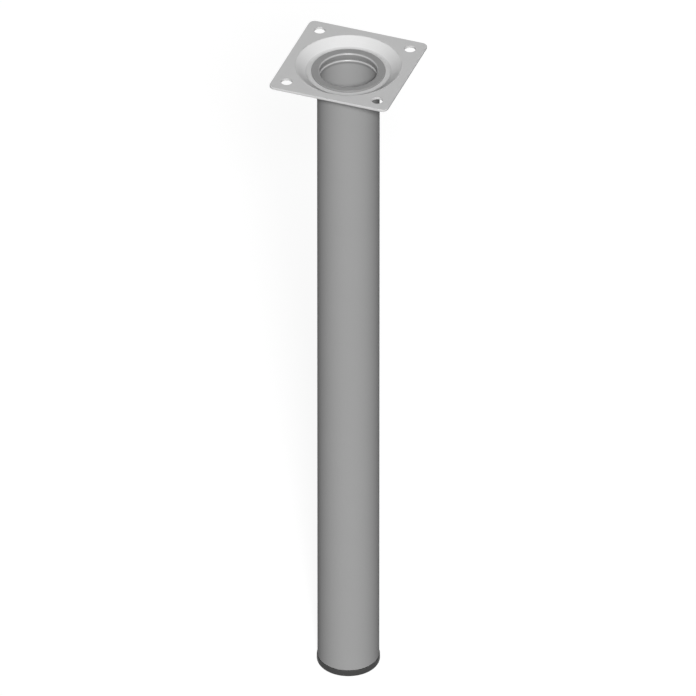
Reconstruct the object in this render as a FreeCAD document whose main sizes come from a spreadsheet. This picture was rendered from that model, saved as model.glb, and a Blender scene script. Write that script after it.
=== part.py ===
import FreeCAD, Part
import math
import os
import PartDesign
import Sketcher
from FreeCAD import Vector

# A round steel furniture leg, 30 mm in diameter and 350 mm high.
# A square pressed plate screws to the underside of the table. The tube's upper end passes through
# the plate's dish: it is rolled outwards to a flange above the dish's floor, and its wall is folded
# out to a bead below, so the plate is clamped between the two. A moulded glide plugs the lower end.
# The origin is the centre of the glide's underside, with +Z up along the tube, and the plate's
# edges run along X and Y.

doc = FreeCAD.newDocument("TableLeg")
sizes = doc.addObject("Spreadsheet::Sheet", "Sizes")

DRIVING_SIZES = (
    ("leg_height", "350", "floor to the plate's upper face"),
    ("tube_diameter", "30", "outside of the tube"),
    ("tube_wall", "1.2", "wall of the tube, and of its flange and bead"),
    ("tube_end_chamfer", "0.3", "deburred outer edge of the sawn lower end"),
    ("flange_width", "2.8", "how far the rolled flange stands out from the tube"),
    ("flange_edge_chamfer", "0.25", "turned off the flange's outer edge"),
    ("roll_radius", "1.1", "bend from the bore into the flange and into the bead's fold"),
    ("bead_width", "2.6", "how far the bead stands out from the tube"),
    ("bead_root_radius", "0.4", "rounding between the tube and the bead's underside"),
    ("fold_gap", "0.2", "space between the bead's two folded layers"),
    ("plate_side", "60", "side of the square plate"),
    ("plate_thickness", "1.25", "sheet that the plate is pressed from"),
    ("plate_corner_radius", "3", "rounded corners of the plate"),
    ("plate_edge_chamfer", "0.2", "taken off the plate's outer edges"),
    ("plate_hole_clearance", "0.1", "radial gap between the tube and the plate's large hole"),
    ("screw_hole_diameter", "5.5", "holes for the screws"),
    ("screw_hole_inset", "7", "from the plate's sides to the centres of the screw holes"),
    ("screw_hole_count", "4", "one screw hole near each corner"),
    ("dish_depth", "3.9", "from the plate's upper face down to the dish's floor"),
    ("dish_wall_angle", "35", "slope of the dish's wall from the level, in degrees"),
    ("dish_bend_radius", "1.5", "inner bend between the dish's floor and its wall"),
    ("dish_edge_radius", "0.4", "bend between the dish's wall and the flat of the plate"),
    ("floor_margin", "1.65", "flat floor that shows around the flange"),
    ("rim_height", "3.6", "height of the glide's rim below the tube"),
    ("rim_overhang", "0.3", "how far the rim's upper edge stands out from the tube"),
    ("rim_draft", "0.1", "how much wider the rim is at its foot"),
    ("rim_foot_radius", "1.3", "rounding of the rim's lower edge"),
    ("rim_top_chamfer", "0.2", "taken off the rim's upper edge"),
    ("glide_floor", "2.2", "thickness of the glide under its hollow plug"),
    ("plug_height", "20", "height of the plug above the rim"),
    ("plug_wall", "1.6", "wall of the hollow plug"),
    ("plug_chamfer", "0.8", "lead-in at the plug's upper end"),
    ("fin_reach", "2.4", "space between the plug and the bore, which the fins bridge"),
    ("fin_clearance", "0.05", "radial gap between the fins and the bore"),
    ("fin_root", "1.5", "thickness of a fin at the plug"),
    ("fin_tip", "0.7", "thickness of a fin at the bore"),
    ("fin_count", "4", "fins around the plug, one above the other"),
    ("fin_pitch", "4", "height from one fin to the next"),
    ("first_fin_height", "2.5", "from the rim up to the lowest fin"),
    ("gate_diameter", "5", "dimple in the underside where the mould was filled"),
    ("gate_depth", "0.4", "depth of that dimple"),
)
for row, (alias, number, meaning) in enumerate(DRIVING_SIZES, start=1):
    sizes.set(f"A{row}", meaning)
    sizes.set(f"B{row}", number)
    sizes.setAlias(f"B{row}", alias)
doc.recompute()

# Sizes that more than one piece shares, as expressions in the driving ones.
TUBE_RADIUS = "(Sizes.tube_diameter / 2)"
BORE_RADIUS = f"({TUBE_RADIUS} - Sizes.tube_wall)"
FLANGE_RADIUS = f"({TUBE_RADIUS} + Sizes.flange_width)"
SEAT_HEIGHT = "(Sizes.leg_height - Sizes.dish_depth)"

# Lengths and volumes that differ by less than this are taken as the same.
TOLERANCE = 1e-4


def value(expression):
    """The number that an expression in the sheet's sizes comes to."""
    return float(sizes.evalExpression(expression))


def new_body(label, height):
    """An empty body for one piece, with its own origin at a height on the leg's axis."""
    body = doc.addObject("PartDesign::Body", label)
    body.Label = label
    body.setExpression("Placement.Base.z", height)
    doc.recompute()
    return body


def origin_feature(body, role):
    """One of a body's own base planes or axes."""
    return next(feature for feature in body.Origin.OriginFeatures if feature.Role == role)


def new_sketch(body, name, plane, height):
    """An empty sketch on a base plane of its body, or at a height above that plane."""
    sketch = body.newObject("Sketcher::SketchObject", name)
    sketch.AttachmentSupport = [(origin_feature(body, plane), "")]
    sketch.MapMode = "FlatFace"
    sketch.setExpression("AttachmentOffset.Base.z", height)
    return sketch


def bind_places(sketch, points, places, distance, in_line, zero_line):
    """Bind points along one direction; points with the same place are kept in line instead."""
    first_at = {}
    for point, place in zip(points, places):
        if place in first_at:
            sketch.addConstraint(Sketcher.Constraint(in_line, *first_at[place], *point))
        elif place == "0":
            sketch.addConstraint(Sketcher.Constraint("PointOnObject", *point, zero_line))
        else:
            constraint = Sketcher.Constraint(distance, -1, 1, *point, value(place))
            sketch.setExpression(f"Constraints[{sketch.addConstraint(constraint)}]", place)
        first_at.setdefault(place, point)


def bind_points(sketch, points, spots):
    """Bind points of a sketch to spots, each given by two expressions: across and up."""
    bind_places(sketch, points, [across for across, up in spots], "DistanceX", "Vertical", -2)
    bind_places(sketch, points, [up for across, up in spots], "DistanceY", "Horizontal", -1)


def outline(body, name, plane, corners):
    """A closed sketch of straight edges between corners."""
    sketch = new_sketch(body, name, plane, "0")
    spots = [Vector(value(across), value(up), 0) for across, up in corners]
    following = spots[1:] + spots[:1]
    edges = [Part.LineSegment(start, end) for start, end in zip(spots, following)]
    sketch.addGeometry(edges, False)
    for edge in range(len(edges)):
        after = (edge + 1) % len(edges)
        sketch.addConstraint(Sketcher.Constraint("Coincident", edge, 2, after, 1))
    bind_points(sketch, [(edge, 1) for edge in range(len(edges))], corners)
    return sketch


def circle(body, name, radius, centre=("0", "0"), height="0"):
    """A level sketch of one circle."""
    sketch = new_sketch(body, name, "XY_Plane", height)
    spot = Vector(value(centre[0]), value(centre[1]), 0)
    sketch.addGeometry(Part.Circle(spot, Vector(0, 0, 1), value(radius)), False)
    bind_points(sketch, [(0, 3)], [centre])
    constraint = Sketcher.Constraint("Radius", 0, value(radius))
    sketch.setExpression(f"Constraints[{sketch.addConstraint(constraint)}]", radius)
    return sketch


def settle(body, feature, adds):
    """Compute a feature as its body's last one, and make sure that it added or cut as it should."""
    before = 0 if body.Shape.isNull() else body.Shape.Volume
    body.Tip = feature
    doc.recompute()
    grown = feature.Shape.Volume - before
    if (grown if adds else -grown) < TOLERANCE:
        raise RuntimeError(f"{feature.Name} left {body.Label} as it was")
    return feature


def turned(body, kind, name, sketch):
    """A full turn of a sketch about the leg's axis: a Revolution adds, and a Groove cuts."""
    feature = body.newObject(f"PartDesign::{kind}", name)
    feature.Profile = sketch
    feature.ReferenceAxis = (sketch, ["V_Axis"])
    feature.Angle = 360
    return settle(body, feature, kind == "Revolution")


def drawn(body, kind, name, sketch, length, upwards):
    """A level sketch drawn out up or down: a Pad adds, and a Pocket cuts."""
    feature = body.newObject(f"PartDesign::{kind}", name)
    feature.Profile = sketch
    feature.setExpression("Length", length)
    feature.Reversed = upwards == (kind == "Pocket")
    return settle(body, feature, kind == "Pad")


def repeated(body, kind, name, original, axis_property, count):
    """A pattern of a feature: a PolarPattern about the leg's axis, or a LinearPattern along it."""
    pattern = body.newObject(f"PartDesign::{kind}", name)
    pattern.Originals = [original]
    setattr(pattern, axis_property, (origin_feature(body, "Z_Axis"), [""]))
    pattern.setExpression("Occurrences", count)
    return pattern


def eased(body, kind, name, amount, chosen):
    """A Fillet or a Chamfer on the chosen edges of a body."""
    base = body.Tip
    edges = [f"Edge{n}" for n, edge in enumerate(base.Shape.Edges, start=1) if chosen(edge)]
    if not edges:
        raise RuntimeError(f"{name} found no edge on {body.Label}")
    feature = body.newObject(f"PartDesign::{kind}", name)
    feature.Base = (base, edges)
    feature.setExpression("Radius" if kind == "Fillet" else "Size", amount)
    body.Tip = feature
    doc.recompute()
    return feature


def upright(edge):
    """Whether an edge is a straight one along the leg's axis."""
    return isinstance(edge.Curve, Part.Line) and abs(edge.Curve.Direction.z) > 1 - TOLERANCE


def level(edge):
    """Whether an edge lies level all the way."""
    return edge.BoundBox.ZLength < TOLERANCE


def rings(*places):
    """A choice of round edges about the leg's axis, each given by its radius and its height."""
    spots = [(value(radius), value(height)) for radius, height in places]

    def chosen(edge):
        if not isinstance(edge.Curve, Part.Circle) or not edge.isClosed():
            return False
        centre = edge.Curve.Center
        if math.hypot(centre.x, centre.y) > TOLERANCE:
            return False
        return any(math.hypot(edge.Curve.Radius - r, centre.z - z) < TOLERANCE for r, z in spots)

    return chosen


def build_mounting_plate():
    """The square plate, pressed from one sheet. Its own origin is the centre of its upper face."""
    plate = new_body("mounting_plate", "Sizes.leg_height")
    half_side = "(Sizes.plate_side / 2)"
    thickness = "Sizes.plate_thickness"
    half_bend = "tan(Sizes.dish_wall_angle / 2)"

    # The dish's floor is as wide as the flange and a margin, and its wall climbs from there.
    # The sheet's lower face keeps the same thickness all the way, so each of its bends lies
    # further out, by the thickness times the tangent of half the slope.
    floor = "-Sizes.dish_depth"
    under_floor = f"(-Sizes.dish_depth - {thickness})"
    under_sheet = f"-{thickness}"
    floor_radius = f"({FLANGE_RADIUS} + Sizes.floor_margin + Sizes.dish_bend_radius * {half_bend})"
    dish_radius = f"({floor_radius} + Sizes.dish_depth / tan(Sizes.dish_wall_angle))"
    under_floor_radius = f"({floor_radius} + {thickness} * {half_bend})"
    under_dish_radius = f"({dish_radius} + {thickness} * {half_bend})"

    corners = [
        (f"-{half_side}", f"-{half_side}"),
        (half_side, f"-{half_side}"),
        (half_side, half_side),
        (f"-{half_side}", half_side),
    ]
    sheet = outline(plate, "SheetOutline", "XY_Plane", corners)
    drawn(plate, "Pad", "Sheet", sheet, thickness, upwards=False)
    eased(plate, "Fillet", "SheetCorners", "Sizes.plate_corner_radius", upright)
    eased(plate, "Chamfer", "SheetEdges", "Sizes.plate_edge_chamfer", level)

    pan = [
        ("0", under_sheet),
        (under_dish_radius, under_sheet),
        (under_floor_radius, under_floor),
        ("0", under_floor),
    ]
    turned(plate, "Revolution", "Pan", outline(plate, "PanOutline", "XZ_Plane", pan))
    dish = [("0", "0"), (dish_radius, "0"), (floor_radius, floor), ("0", floor)]
    turned(plate, "Groove", "Dish", outline(plate, "DishOutline", "XZ_Plane", dish))

    bends = (
        ("FloorBend", "Sizes.dish_bend_radius", floor_radius, floor),
        ("FloorBendUnder", f"Sizes.dish_bend_radius + {thickness}", under_floor_radius, under_floor),
        ("DishEdge", "Sizes.dish_edge_radius", dish_radius, "0"),
        ("DishEdgeUnder", f"Sizes.dish_edge_radius + {thickness}", under_dish_radius, under_sheet),
    )
    for name, bend_radius, ring_radius, ring_height in bends:
        eased(plate, "Fillet", name, bend_radius, rings((ring_radius, ring_height)))

    tube_hole = circle(plate, "TubeHoleOutline", f"{TUBE_RADIUS} + Sizes.plate_hole_clearance")
    drawn(plate, "Pocket", "TubeHole", tube_hole, f"Sizes.dish_depth + {thickness}", upwards=False)

    hole_place = f"({half_side} - Sizes.screw_hole_inset)"
    hole_radius = "Sizes.screw_hole_diameter / 2"
    screw_hole = circle(plate, "ScrewHoleOutline", hole_radius, (hole_place, hole_place))
    first_hole = drawn(plate, "Pocket", "ScrewHole", screw_hole, thickness, upwards=False)
    pattern = repeated(
        plate, "PolarPattern", "ScrewHoles", first_hole, "Axis", "Sizes.screw_hole_count"
    )
    settle(plate, pattern, adds=False)
    return plate


def build_leg_tube():
    """The tube, with its flange and its bead. Its own origin is where the flange sits on the dish."""
    tube = new_body("leg_tube", SEAT_HEIGHT)
    lower_end = f"(Sizes.rim_height - {SEAT_HEIGHT})"
    flange_top = "Sizes.tube_wall"
    bead_radius = f"({TUBE_RADIUS} + Sizes.bead_width)"
    bead_top = "-Sizes.plate_thickness"
    fold_top = f"({bead_top} - Sizes.tube_wall)"
    fold_bottom = f"({fold_top} - Sizes.fold_gap)"
    bead_bottom = f"({fold_bottom} - Sizes.tube_wall)"
    fold_radius = f"({bead_radius} - Sizes.tube_wall)"

    wall = [
        (BORE_RADIUS, lower_end),
        (TUBE_RADIUS, lower_end),
        (TUBE_RADIUS, "0"),
        (FLANGE_RADIUS, "0"),
        (FLANGE_RADIUS, flange_top),
        (BORE_RADIUS, flange_top),
    ]
    turned(tube, "Revolution", "Wall", outline(tube, "WallOutline", "XZ_Plane", wall))

    # The bead is the wall folded out and back on itself under the plate, two layers thick, with
    # a thin gap between the layers that opens into the bore.
    bead = [
        (BORE_RADIUS, bead_bottom),
        (bead_radius, bead_bottom),
        (bead_radius, bead_top),
        (BORE_RADIUS, bead_top),
    ]
    turned(tube, "Revolution", "Bead", outline(tube, "BeadOutline", "XZ_Plane", bead))
    fold = [("0", fold_bottom), (fold_radius, fold_bottom), (fold_radius, fold_top), ("0", fold_top)]
    turned(tube, "Groove", "Fold", outline(tube, "FoldOutline", "XZ_Plane", fold))

    bead_edges = rings((bead_radius, bead_top), (bead_radius, bead_bottom))
    eased(tube, "Fillet", "BeadEdge", "Sizes.tube_wall", bead_edges)
    eased(tube, "Fillet", "BeadRoot", "Sizes.bead_root_radius", rings((TUBE_RADIUS, bead_bottom)))
    rolled = rings((BORE_RADIUS, flange_top), (BORE_RADIUS, fold_top), (BORE_RADIUS, fold_bottom))
    eased(tube, "Fillet", "RolledBends", "Sizes.roll_radius", rolled)
    flange_edges = rings((FLANGE_RADIUS, "0"), (FLANGE_RADIUS, flange_top))
    eased(tube, "Chamfer", "FlangeEdge", "Sizes.flange_edge_chamfer", flange_edges)
    eased(tube, "Chamfer", "LowerEnd", "Sizes.tube_end_chamfer", rings((TUBE_RADIUS, lower_end)))
    return tube


def build_foot_glide():
    """The moulded glide: a rim that carries the tube, and a hollow plug with fins inside the tube."""
    glide = new_body("foot_glide", "0")
    rim_top_edge = f"({TUBE_RADIUS} + Sizes.rim_overhang)"
    rim_foot_edge = f"({rim_top_edge} + Sizes.rim_draft)"
    plug_radius = f"({BORE_RADIUS} - Sizes.fin_reach)"
    hollow_radius = f"({plug_radius} - Sizes.plug_wall)"
    mid_wall_radius = f"({plug_radius} - Sizes.plug_wall / 2)"
    plug_top = "(Sizes.rim_height + Sizes.plug_height)"
    fin_bottom = "(Sizes.rim_height + Sizes.first_fin_height)"
    fin_radius = f"({BORE_RADIUS} - Sizes.fin_clearance)"

    rim = [
        ("0", "0"),
        (rim_foot_edge, "0"),
        (rim_top_edge, "Sizes.rim_height"),
        ("0", "Sizes.rim_height"),
    ]
    turned(glide, "Revolution", "Rim", outline(glide, "RimOutline", "XZ_Plane", rim))
    eased(glide, "Fillet", "RimFoot", "Sizes.rim_foot_radius", rings((rim_foot_edge, "0")))
    eased(glide, "Chamfer", "RimTop", "Sizes.rim_top_chamfer", rings((rim_top_edge, "Sizes.rim_height")))
    gate = circle(glide, "GateOutline", "Sizes.gate_diameter / 2")
    drawn(glide, "Pocket", "Gate", gate, "Sizes.gate_depth", upwards=True)

    plug = circle(glide, "PlugOutline", plug_radius, height="Sizes.rim_height")
    drawn(glide, "Pad", "Plug", plug, "Sizes.plug_height", upwards=True)
    eased(glide, "Chamfer", "PlugLeadIn", "Sizes.plug_chamfer", rings((plug_radius, plug_top)))
    hollow = circle(glide, "HollowOutline", hollow_radius, height="Sizes.glide_floor")
    drawn(glide, "Pocket", "Hollow", hollow, f"{plug_top} - Sizes.glide_floor", upwards=True)

    # One fin tapers from the plug's wall to its tip, with a level underside and a sloping top.
    fin = [
        (mid_wall_radius, fin_bottom),
        (fin_radius, fin_bottom),
        (fin_radius, f"{fin_bottom} + Sizes.fin_tip"),
        (plug_radius, f"{fin_bottom} + Sizes.fin_root"),
        (mid_wall_radius, f"{fin_bottom} + Sizes.fin_root"),
    ]
    first_fin = turned(glide, "Revolution", "Fin", outline(glide, "FinOutline", "XZ_Plane", fin))
    fins = repeated(glide, "LinearPattern", "Fins", first_fin, "Direction", "Sizes.fin_count")
    fins.Mode = "Spacing"
    fins.setExpression("Offset", "Sizes.fin_pitch")
    settle(glide, fins, adds=True)
    return glide


pieces = [build_mounting_plate(), build_leg_tube(), build_foot_glide()]

doc.recompute()
for item in doc.Objects:
    if "Invalid" in item.State or "Error" in item.State:
        raise RuntimeError(f"{item.Name} could not be computed")
for piece in pieces:
    if piece.Shape.isNull() or not piece.Shape.isValid() or len(piece.Shape.Solids) != 1:
        raise RuntimeError(f"{piece.Label} is not one sound solid")

os.makedirs("parts", exist_ok=True)
for piece in pieces:
    piece.Shape.exportStep(f"parts/{piece.Label}.step")
    box = piece.Shape.BoundBox
    print(f"{piece.Label}: {piece.Shape.Volume:.1f} cubic mm, from z {box.ZMin:.3f} to {box.ZMax:.3f}")
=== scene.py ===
import math

import bmesh
import bpy
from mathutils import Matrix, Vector

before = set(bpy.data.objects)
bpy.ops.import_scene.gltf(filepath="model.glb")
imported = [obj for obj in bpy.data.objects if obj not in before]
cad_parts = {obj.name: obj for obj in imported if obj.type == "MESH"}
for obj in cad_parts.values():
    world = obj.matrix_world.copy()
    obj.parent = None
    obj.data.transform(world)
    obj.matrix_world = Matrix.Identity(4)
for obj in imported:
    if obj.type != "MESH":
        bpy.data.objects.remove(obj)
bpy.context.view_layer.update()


# The mounting plate is one square of sheet steel, blanked, pressed to a round dish and pierced for
# the tube and for four screws. It is zinc plated: pale and satin, with faint streaks from rolling.
# The dish's wall has a painted highlight, a little brighter, and faint rings where the punch drew it.

class Signal:
    """A value that varies over a surface. Arithmetic on it adds Math nodes to its graph."""

    def __init__(self, graph, socket):
        self.graph = graph
        self.socket = socket

    def maths(self, operation, first, second=0.0):
        return self.graph.node("Math", {"operation": operation}, {0: first, 1: second})

    def __add__(self, other):
        return self.maths("ADD", self, other)

    __radd__ = __add__

    def __mul__(self, other):
        return self.maths("MULTIPLY", self, other)

    __rmul__ = __mul__

    def __sub__(self, other):
        return self.maths("SUBTRACT", self, other)

    def __rsub__(self, other):
        return self.maths("SUBTRACT", other, self)

    def root(self):
        return self.maths("SQRT", self)

    def sine(self):
        return self.maths("SINE", self)

    def above(self, limit):
        """One where the value is above a limit, and zero elsewhere."""
        return self.maths("GREATER_THAN", self, limit)

    def within(self, low, high):
        """One where the value is above the low limit and not above the high one."""
        return self.above(low) * (1 - self.above(high))


class Graph:
    """A tree of shader nodes, which one method adds to."""

    def __init__(self, tree):
        self.tree = tree

    def node(self, kind, settings=None, inputs=None, output=0):
        made = self.tree.nodes.new("ShaderNode" + kind)
        for setting, choice in (settings or {}).items():
            setattr(made, setting, choice)
        for socket, given in (inputs or {}).items():
            self.feed(made.inputs[socket], given)
        return Signal(self, made.outputs[output])

    def feed(self, socket, given):
        if isinstance(given, Signal):
            self.tree.links.new(given.socket, socket)
        else:
            socket.default_value = given

    def grey(self, level):
        """A colour with the same level of red, green and blue."""
        return self.node("CombineColor", inputs={"Red": level, "Green": level, "Blue": level})


class Surface(Graph):
    """One material: a Principled shader with uniform settings, and the nodes that vary it."""

    def __init__(self, name, **settings):
        self.material = bpy.data.materials.new(name)
        self.material.use_nodes = True
        super().__init__(self.material.node_tree)
        self.shader = next(n for n in self.tree.nodes if n.type == "BSDF_PRINCIPLED")
        for socket, amount in settings.items():
            self.vary(socket, amount)
        self.place = self.node("TexCoord", output="Object")

    def vary(self, socket, given):
        self.feed(self.shader.inputs[socket.replace("_", " ")], given)

    def noise(self, size, detail=2.0, stretch=(1.0, 1.0, 1.0)):
        """Soft noise, centred on zero, with grains of this size in metres, divided by a stretch."""
        scaled = self.node("Mapping", inputs={"Vector": self.place, "Scale": stretch})
        inputs = {"Vector": scaled, "Scale": 1 / size, "Detail": detail}
        return self.node("TexNoise", inputs=inputs) - 0.5

    def along(self, axis):
        return self.node("SeparateXYZ", inputs={"Vector": self.place}, output=axis)

    def height(self):
        return self.along("Z")

    def radius(self):
        """The distance from the leg's axis."""
        x = self.along("X")
        y = self.along("Y")
        return (x * x + y * y).root()

    def rings(self, pitch):
        """Round waves about the leg's axis, this far apart in metres."""
        return (self.radius() * (math.tau / pitch)).sine()

    def relief(self, height, depth, **form):
        """A bump of this many metres, from a height signal. A form is the Normal that it stands on."""
        inputs = {"Height": height, "Distance": depth, **form}
        self.vary("Normal", self.node("Bump", inputs=inputs))

    def dress(self, node):
        """Give a CAD piece this material in all its slots."""
        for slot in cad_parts[node].material_slots:
            slot.material = self.material


ZINC_GREY = 0.64
ZINC_GREY_SPREAD = 0.03
ZINC_ROUGHNESS = 0.55
ZINC_ROUGHNESS_SPREAD = 0.1
ZINC_RELIEF = 0.00002
CLOUD_SIZE = 0.012
CLOUD_DETAIL = 3.0
GRAIN_SIZE = 0.0006
STREAK_WIDTH = 0.0004
STREAK_STRETCH = (0.03, 1.0, 1.0)
STREAK_SHARE = 0.5
DRAWN_RING_PITCH = 0.0007
DRAWN_RING_SHARE = 0.15
WALL_PAINTED_HIGHLIGHT = 0.09
DISH_FLOOR_EDGE = 0.0206
DISH_RIM = 0.0257
PLATE_FACE = 0.34985

plating = Surface("zinc_plated_steel", IOR=1.45, Specular_IOR_Level=0.03)
cloud = plating.noise(CLOUD_SIZE, CLOUD_DETAIL)
grain = plating.noise(GRAIN_SIZE)
streaks = plating.noise(STREAK_WIDTH, stretch=STREAK_STRETCH)
wall = plating.radius().within(DISH_FLOOR_EDGE, DISH_RIM) * (1 - plating.height().above(PLATE_FACE))
drawn_rings = plating.rings(DRAWN_RING_PITCH) * wall * DRAWN_RING_SHARE
# On the dish's wall the zinc grey is raised: a painted highlight.
zinc = ZINC_GREY + wall * WALL_PAINTED_HIGHLIGHT + (cloud + streaks) * ZINC_GREY_SPREAD
plating.vary("Base_Color", plating.grey(zinc))
plating.vary("Roughness", ZINC_ROUGHNESS + (cloud + streaks) * ZINC_ROUGHNESS_SPREAD)
plating.relief(grain + streaks * STREAK_SHARE + drawn_rings, ZINC_RELIEF)
plating.dress("mounting_plate")


# The leg's tube is welded steel tube, sawn to length. Its upper end passes through the plate and is
# rolled out over it, and folded to a bead below. It has a smooth satin grey coating inside and out.
# On the rolled end its colour is painted darker, a painted shade that offsets its coat's gloss, and
# a thin band where the wall bends out of the bore is painted pale, a painted highlight.

COATING_GREY = 0.36
COATING_ROUGHNESS = 0.6
COATING_ROUGHNESS_SPREAD = 0.06
COATING_RELIEF = 0.00001
MOTTLE_SIZE = 0.02
MOTTLE_SPREAD = 0.015
PORE_SIZE = 0.0008
PORE_SPREAD = 0.01
PAINTED_SHADE_ON_ROLL = 0.09
TOOL_RING_PITCH = 0.0004
TOOL_RING_SHARE = 0.1
PAINTED_HIGHLIGHT_LIFT = 0.18
BEND_STARTS = 0.01385
BEND_ENDS = 0.0143
ROLLED_FROM = 0.3415
PLAIN_FROM = 0.004
MID_WALL = 0.0144

coating = Surface(
    "satin_grey_coating", IOR=1.45, Specular_IOR_Level=0.02, Coat_Roughness=0.33, Coat_IOR=1.5
)
mottle = coating.noise(MOTTLE_SIZE)
pores = coating.noise(PORE_SIZE)
rolled = coating.height().above(ROLLED_FROM)
# A thin band on the bends out of the bore is painted pale: a painted highlight.
painted_highlight_band = rolled * coating.radius().within(BEND_STARTS, BEND_ENDS)
# The rolled end is painted darker: painted shade that offsets the light its coat reflects.
paint = COATING_GREY + painted_highlight_band * PAINTED_HIGHLIGHT_LIFT - rolled * PAINTED_SHADE_ON_ROLL
coating.vary("Base_Color", coating.grey(paint + mottle * MOTTLE_SPREAD + pores * PORE_SPREAD))
coating.vary("Roughness", COATING_ROUGHNESS + mottle * COATING_ROUGHNESS_SPREAD)
coating.vary("Coat_Weight", rolled)

# The plain wall's own normals show its facets as a step along one side. So below the bead it takes
# a true round tube's: away from the axis outside, towards it inside. In a Mix node of vectors,
# socket 0 is the factor, and 4 and 5 are the two vectors.
plain = coating.height().above(PLAIN_FROM) * (1 - rolled)
out_or_in = coating.radius().above(MID_WALL) * 2 - 1
level = coating.node("VectorMath", {"operation": "MULTIPLY"}, {0: coating.place, 1: (1, 1, 0)})
outward = coating.node("VectorMath", {"operation": "NORMALIZE"}, {0: level})
round_normal = coating.node("VectorMath", {"operation": "SCALE"}, {0: outward, "Scale": out_or_in})
own_normal = coating.node("NewGeometry", output="Normal")
normals = {0: plain, 4: own_normal, 5: round_normal}
normal = coating.node("Mix", {"data_type": "VECTOR"}, normals, output=1)
tool_rings = coating.rings(TOOL_RING_PITCH) * rolled * TOOL_RING_SHARE
coating.relief(pores + tool_rings, COATING_RELIEF, Normal=normal)
coating.dress("leg_tube")


# The glide is moulded in one piece of black polyethylene and pushed into the tube's lower end, where
# its fins grip the bore. The rim that shows has the fine, even texture of a spark-eroded mould.

PLASTIC_GREY = 0.055
PLASTIC_GREY_SPREAD = 0.02
PLASTIC_ROUGHNESS = 0.55
PLASTIC_ROUGHNESS_SPREAD = 0.1
TEXTURE_SIZE = 0.0004
TEXTURE_RELIEF = 0.00003
SHEEN_SIZE = 0.006

moulding = Surface("black_polyethylene", IOR=1.45, Specular_IOR_Level=0.2)
sheen = moulding.noise(SHEEN_SIZE)
texture = moulding.noise(TEXTURE_SIZE)
moulding.vary("Base_Color", moulding.grey(PLASTIC_GREY + texture * PLASTIC_GREY_SPREAD))
moulding.vary("Roughness", PLASTIC_ROUGHNESS + sheen * PLASTIC_ROUGHNESS_SPREAD)
moulding.relief(texture, TEXTURE_RELIEF)
moulding.dress("foot_glide")


# The studio is a pale floor that fades into a white ground, lit by one broad soft light beside the
# camera. A low one behind shows the leg's back from the other sides, and doesn't reach into the dish.

FLOOR_HALF_SIDE = 60.0
FLOOR_GAP = 0.0001
FLOOR_GREY = (0.16, 0.16, 0.16, 1.0)
FLOOR_GLOW = 0.9
ROOM_LIGHT = 0.07


def seen(graph):
    """One for what the camera, a reflection or clear glass shows, and zero for what lights."""
    kinds = ("Is Camera Ray", "Is Glossy Ray", "Is Transmission Ray")
    camera_ray, glossy_ray, clear_ray = [graph.node("LightPath", output=kind) for kind in kinds]
    return (camera_ray + glossy_ray + clear_ray).above(0.5)


shape = bmesh.new()
bmesh.ops.create_grid(shape, x_segments=1, y_segments=1, size=FLOOR_HALF_SIDE)
bmesh.ops.translate(shape, verts=shape.verts, vec=(0, 0, -FLOOR_GAP))
floor_mesh = bpy.data.meshes.new("studio_floor")
shape.to_mesh(floor_mesh)
shape.free()
floor = bpy.data.objects.new("studio_floor", floor_mesh)
bpy.context.scene.collection.objects.link(floor)
paper = Surface("white_paper", Roughness=1.0, Specular_IOR_Level=0.0, Emission_Strength=1.0)
paper.vary("Base_Color", FLOOR_GREY)
paper.vary("Emission_Color", paper.grey(seen(paper) * FLOOR_GLOW))
floor_mesh.materials.append(paper.material)

world = bpy.data.worlds.new("studio")
world.use_nodes = True
bpy.context.scene.world = world
ground = Graph(world.node_tree)
background = world.node_tree.nodes["Background"]
ground.feed(background.inputs["Color"], ground.grey(ROOM_LIGHT + seen(ground) * (1 - ROOM_LIGHT)))


def direction(azimuth, elevation):
    """The way from the leg towards an azimuth and an elevation in degrees. Azimuth 0 is the front."""
    a = math.radians(azimuth)
    e = math.radians(elevation)
    return Vector((math.sin(a) * math.cos(e), -math.cos(a) * math.cos(e), math.sin(e)))


def put(name, data, towards, spot=(0, 0, 0)):
    """Put a lamp or a camera into the scene, with its back turned towards a direction."""
    item = bpy.data.objects.new(name, data)
    item.location = spot
    item.rotation_mode = "QUATERNION"
    item.rotation_quaternion = towards.to_track_quat("Z", "Y")
    bpy.context.scene.collection.objects.link(item)
    return item


def sun(name, azimuth, elevation, strength, spread):
    """A distant lamp. Its spread is how wide it looks from the leg, in degrees."""
    lamp = bpy.data.lights.new(name, "SUN")
    lamp.energy = strength
    lamp.angle = math.radians(spread)
    put(name, lamp, direction(azimuth, elevation))


sun("key_light", azimuth=22.7, elevation=35.5, strength=3.4, spread=8)
sun("back_light", azimuth=200, elevation=1.5, strength=2.5, spread=3)


# The camera looks down at the leg from the photograph's side, through a very long lens, which keeps
# the tube's sides parallel.

VIEW_AZIMUTH = 20.0
VIEW_ELEVATION = 35.25
LENS = 1500.0
SENSOR = 36.0
FARTHEST_SEEN = 100.0
FRAME_WIDTH = 0.33497
AIM_HEIGHT = 0.1845
AIM_ASIDE = -0.00019

towards_camera = direction(VIEW_AZIMUTH, VIEW_ELEVATION)
aside = Vector((0, 0, 1)).cross(towards_camera).normalized()
aim = Vector((0, 0, AIM_HEIGHT)) + aside * AIM_ASIDE
distance = FRAME_WIDTH * LENS / SENSOR
camera = bpy.data.cameras.new("camera")
camera.sensor_width = SENSOR
camera.lens = LENS
camera.clip_end = FARTHEST_SEEN
bpy.context.scene.camera = put("camera", camera, towards_camera, aim + towards_camera * distance)
bpy.context.scene.view_settings.view_transform = "Standard"
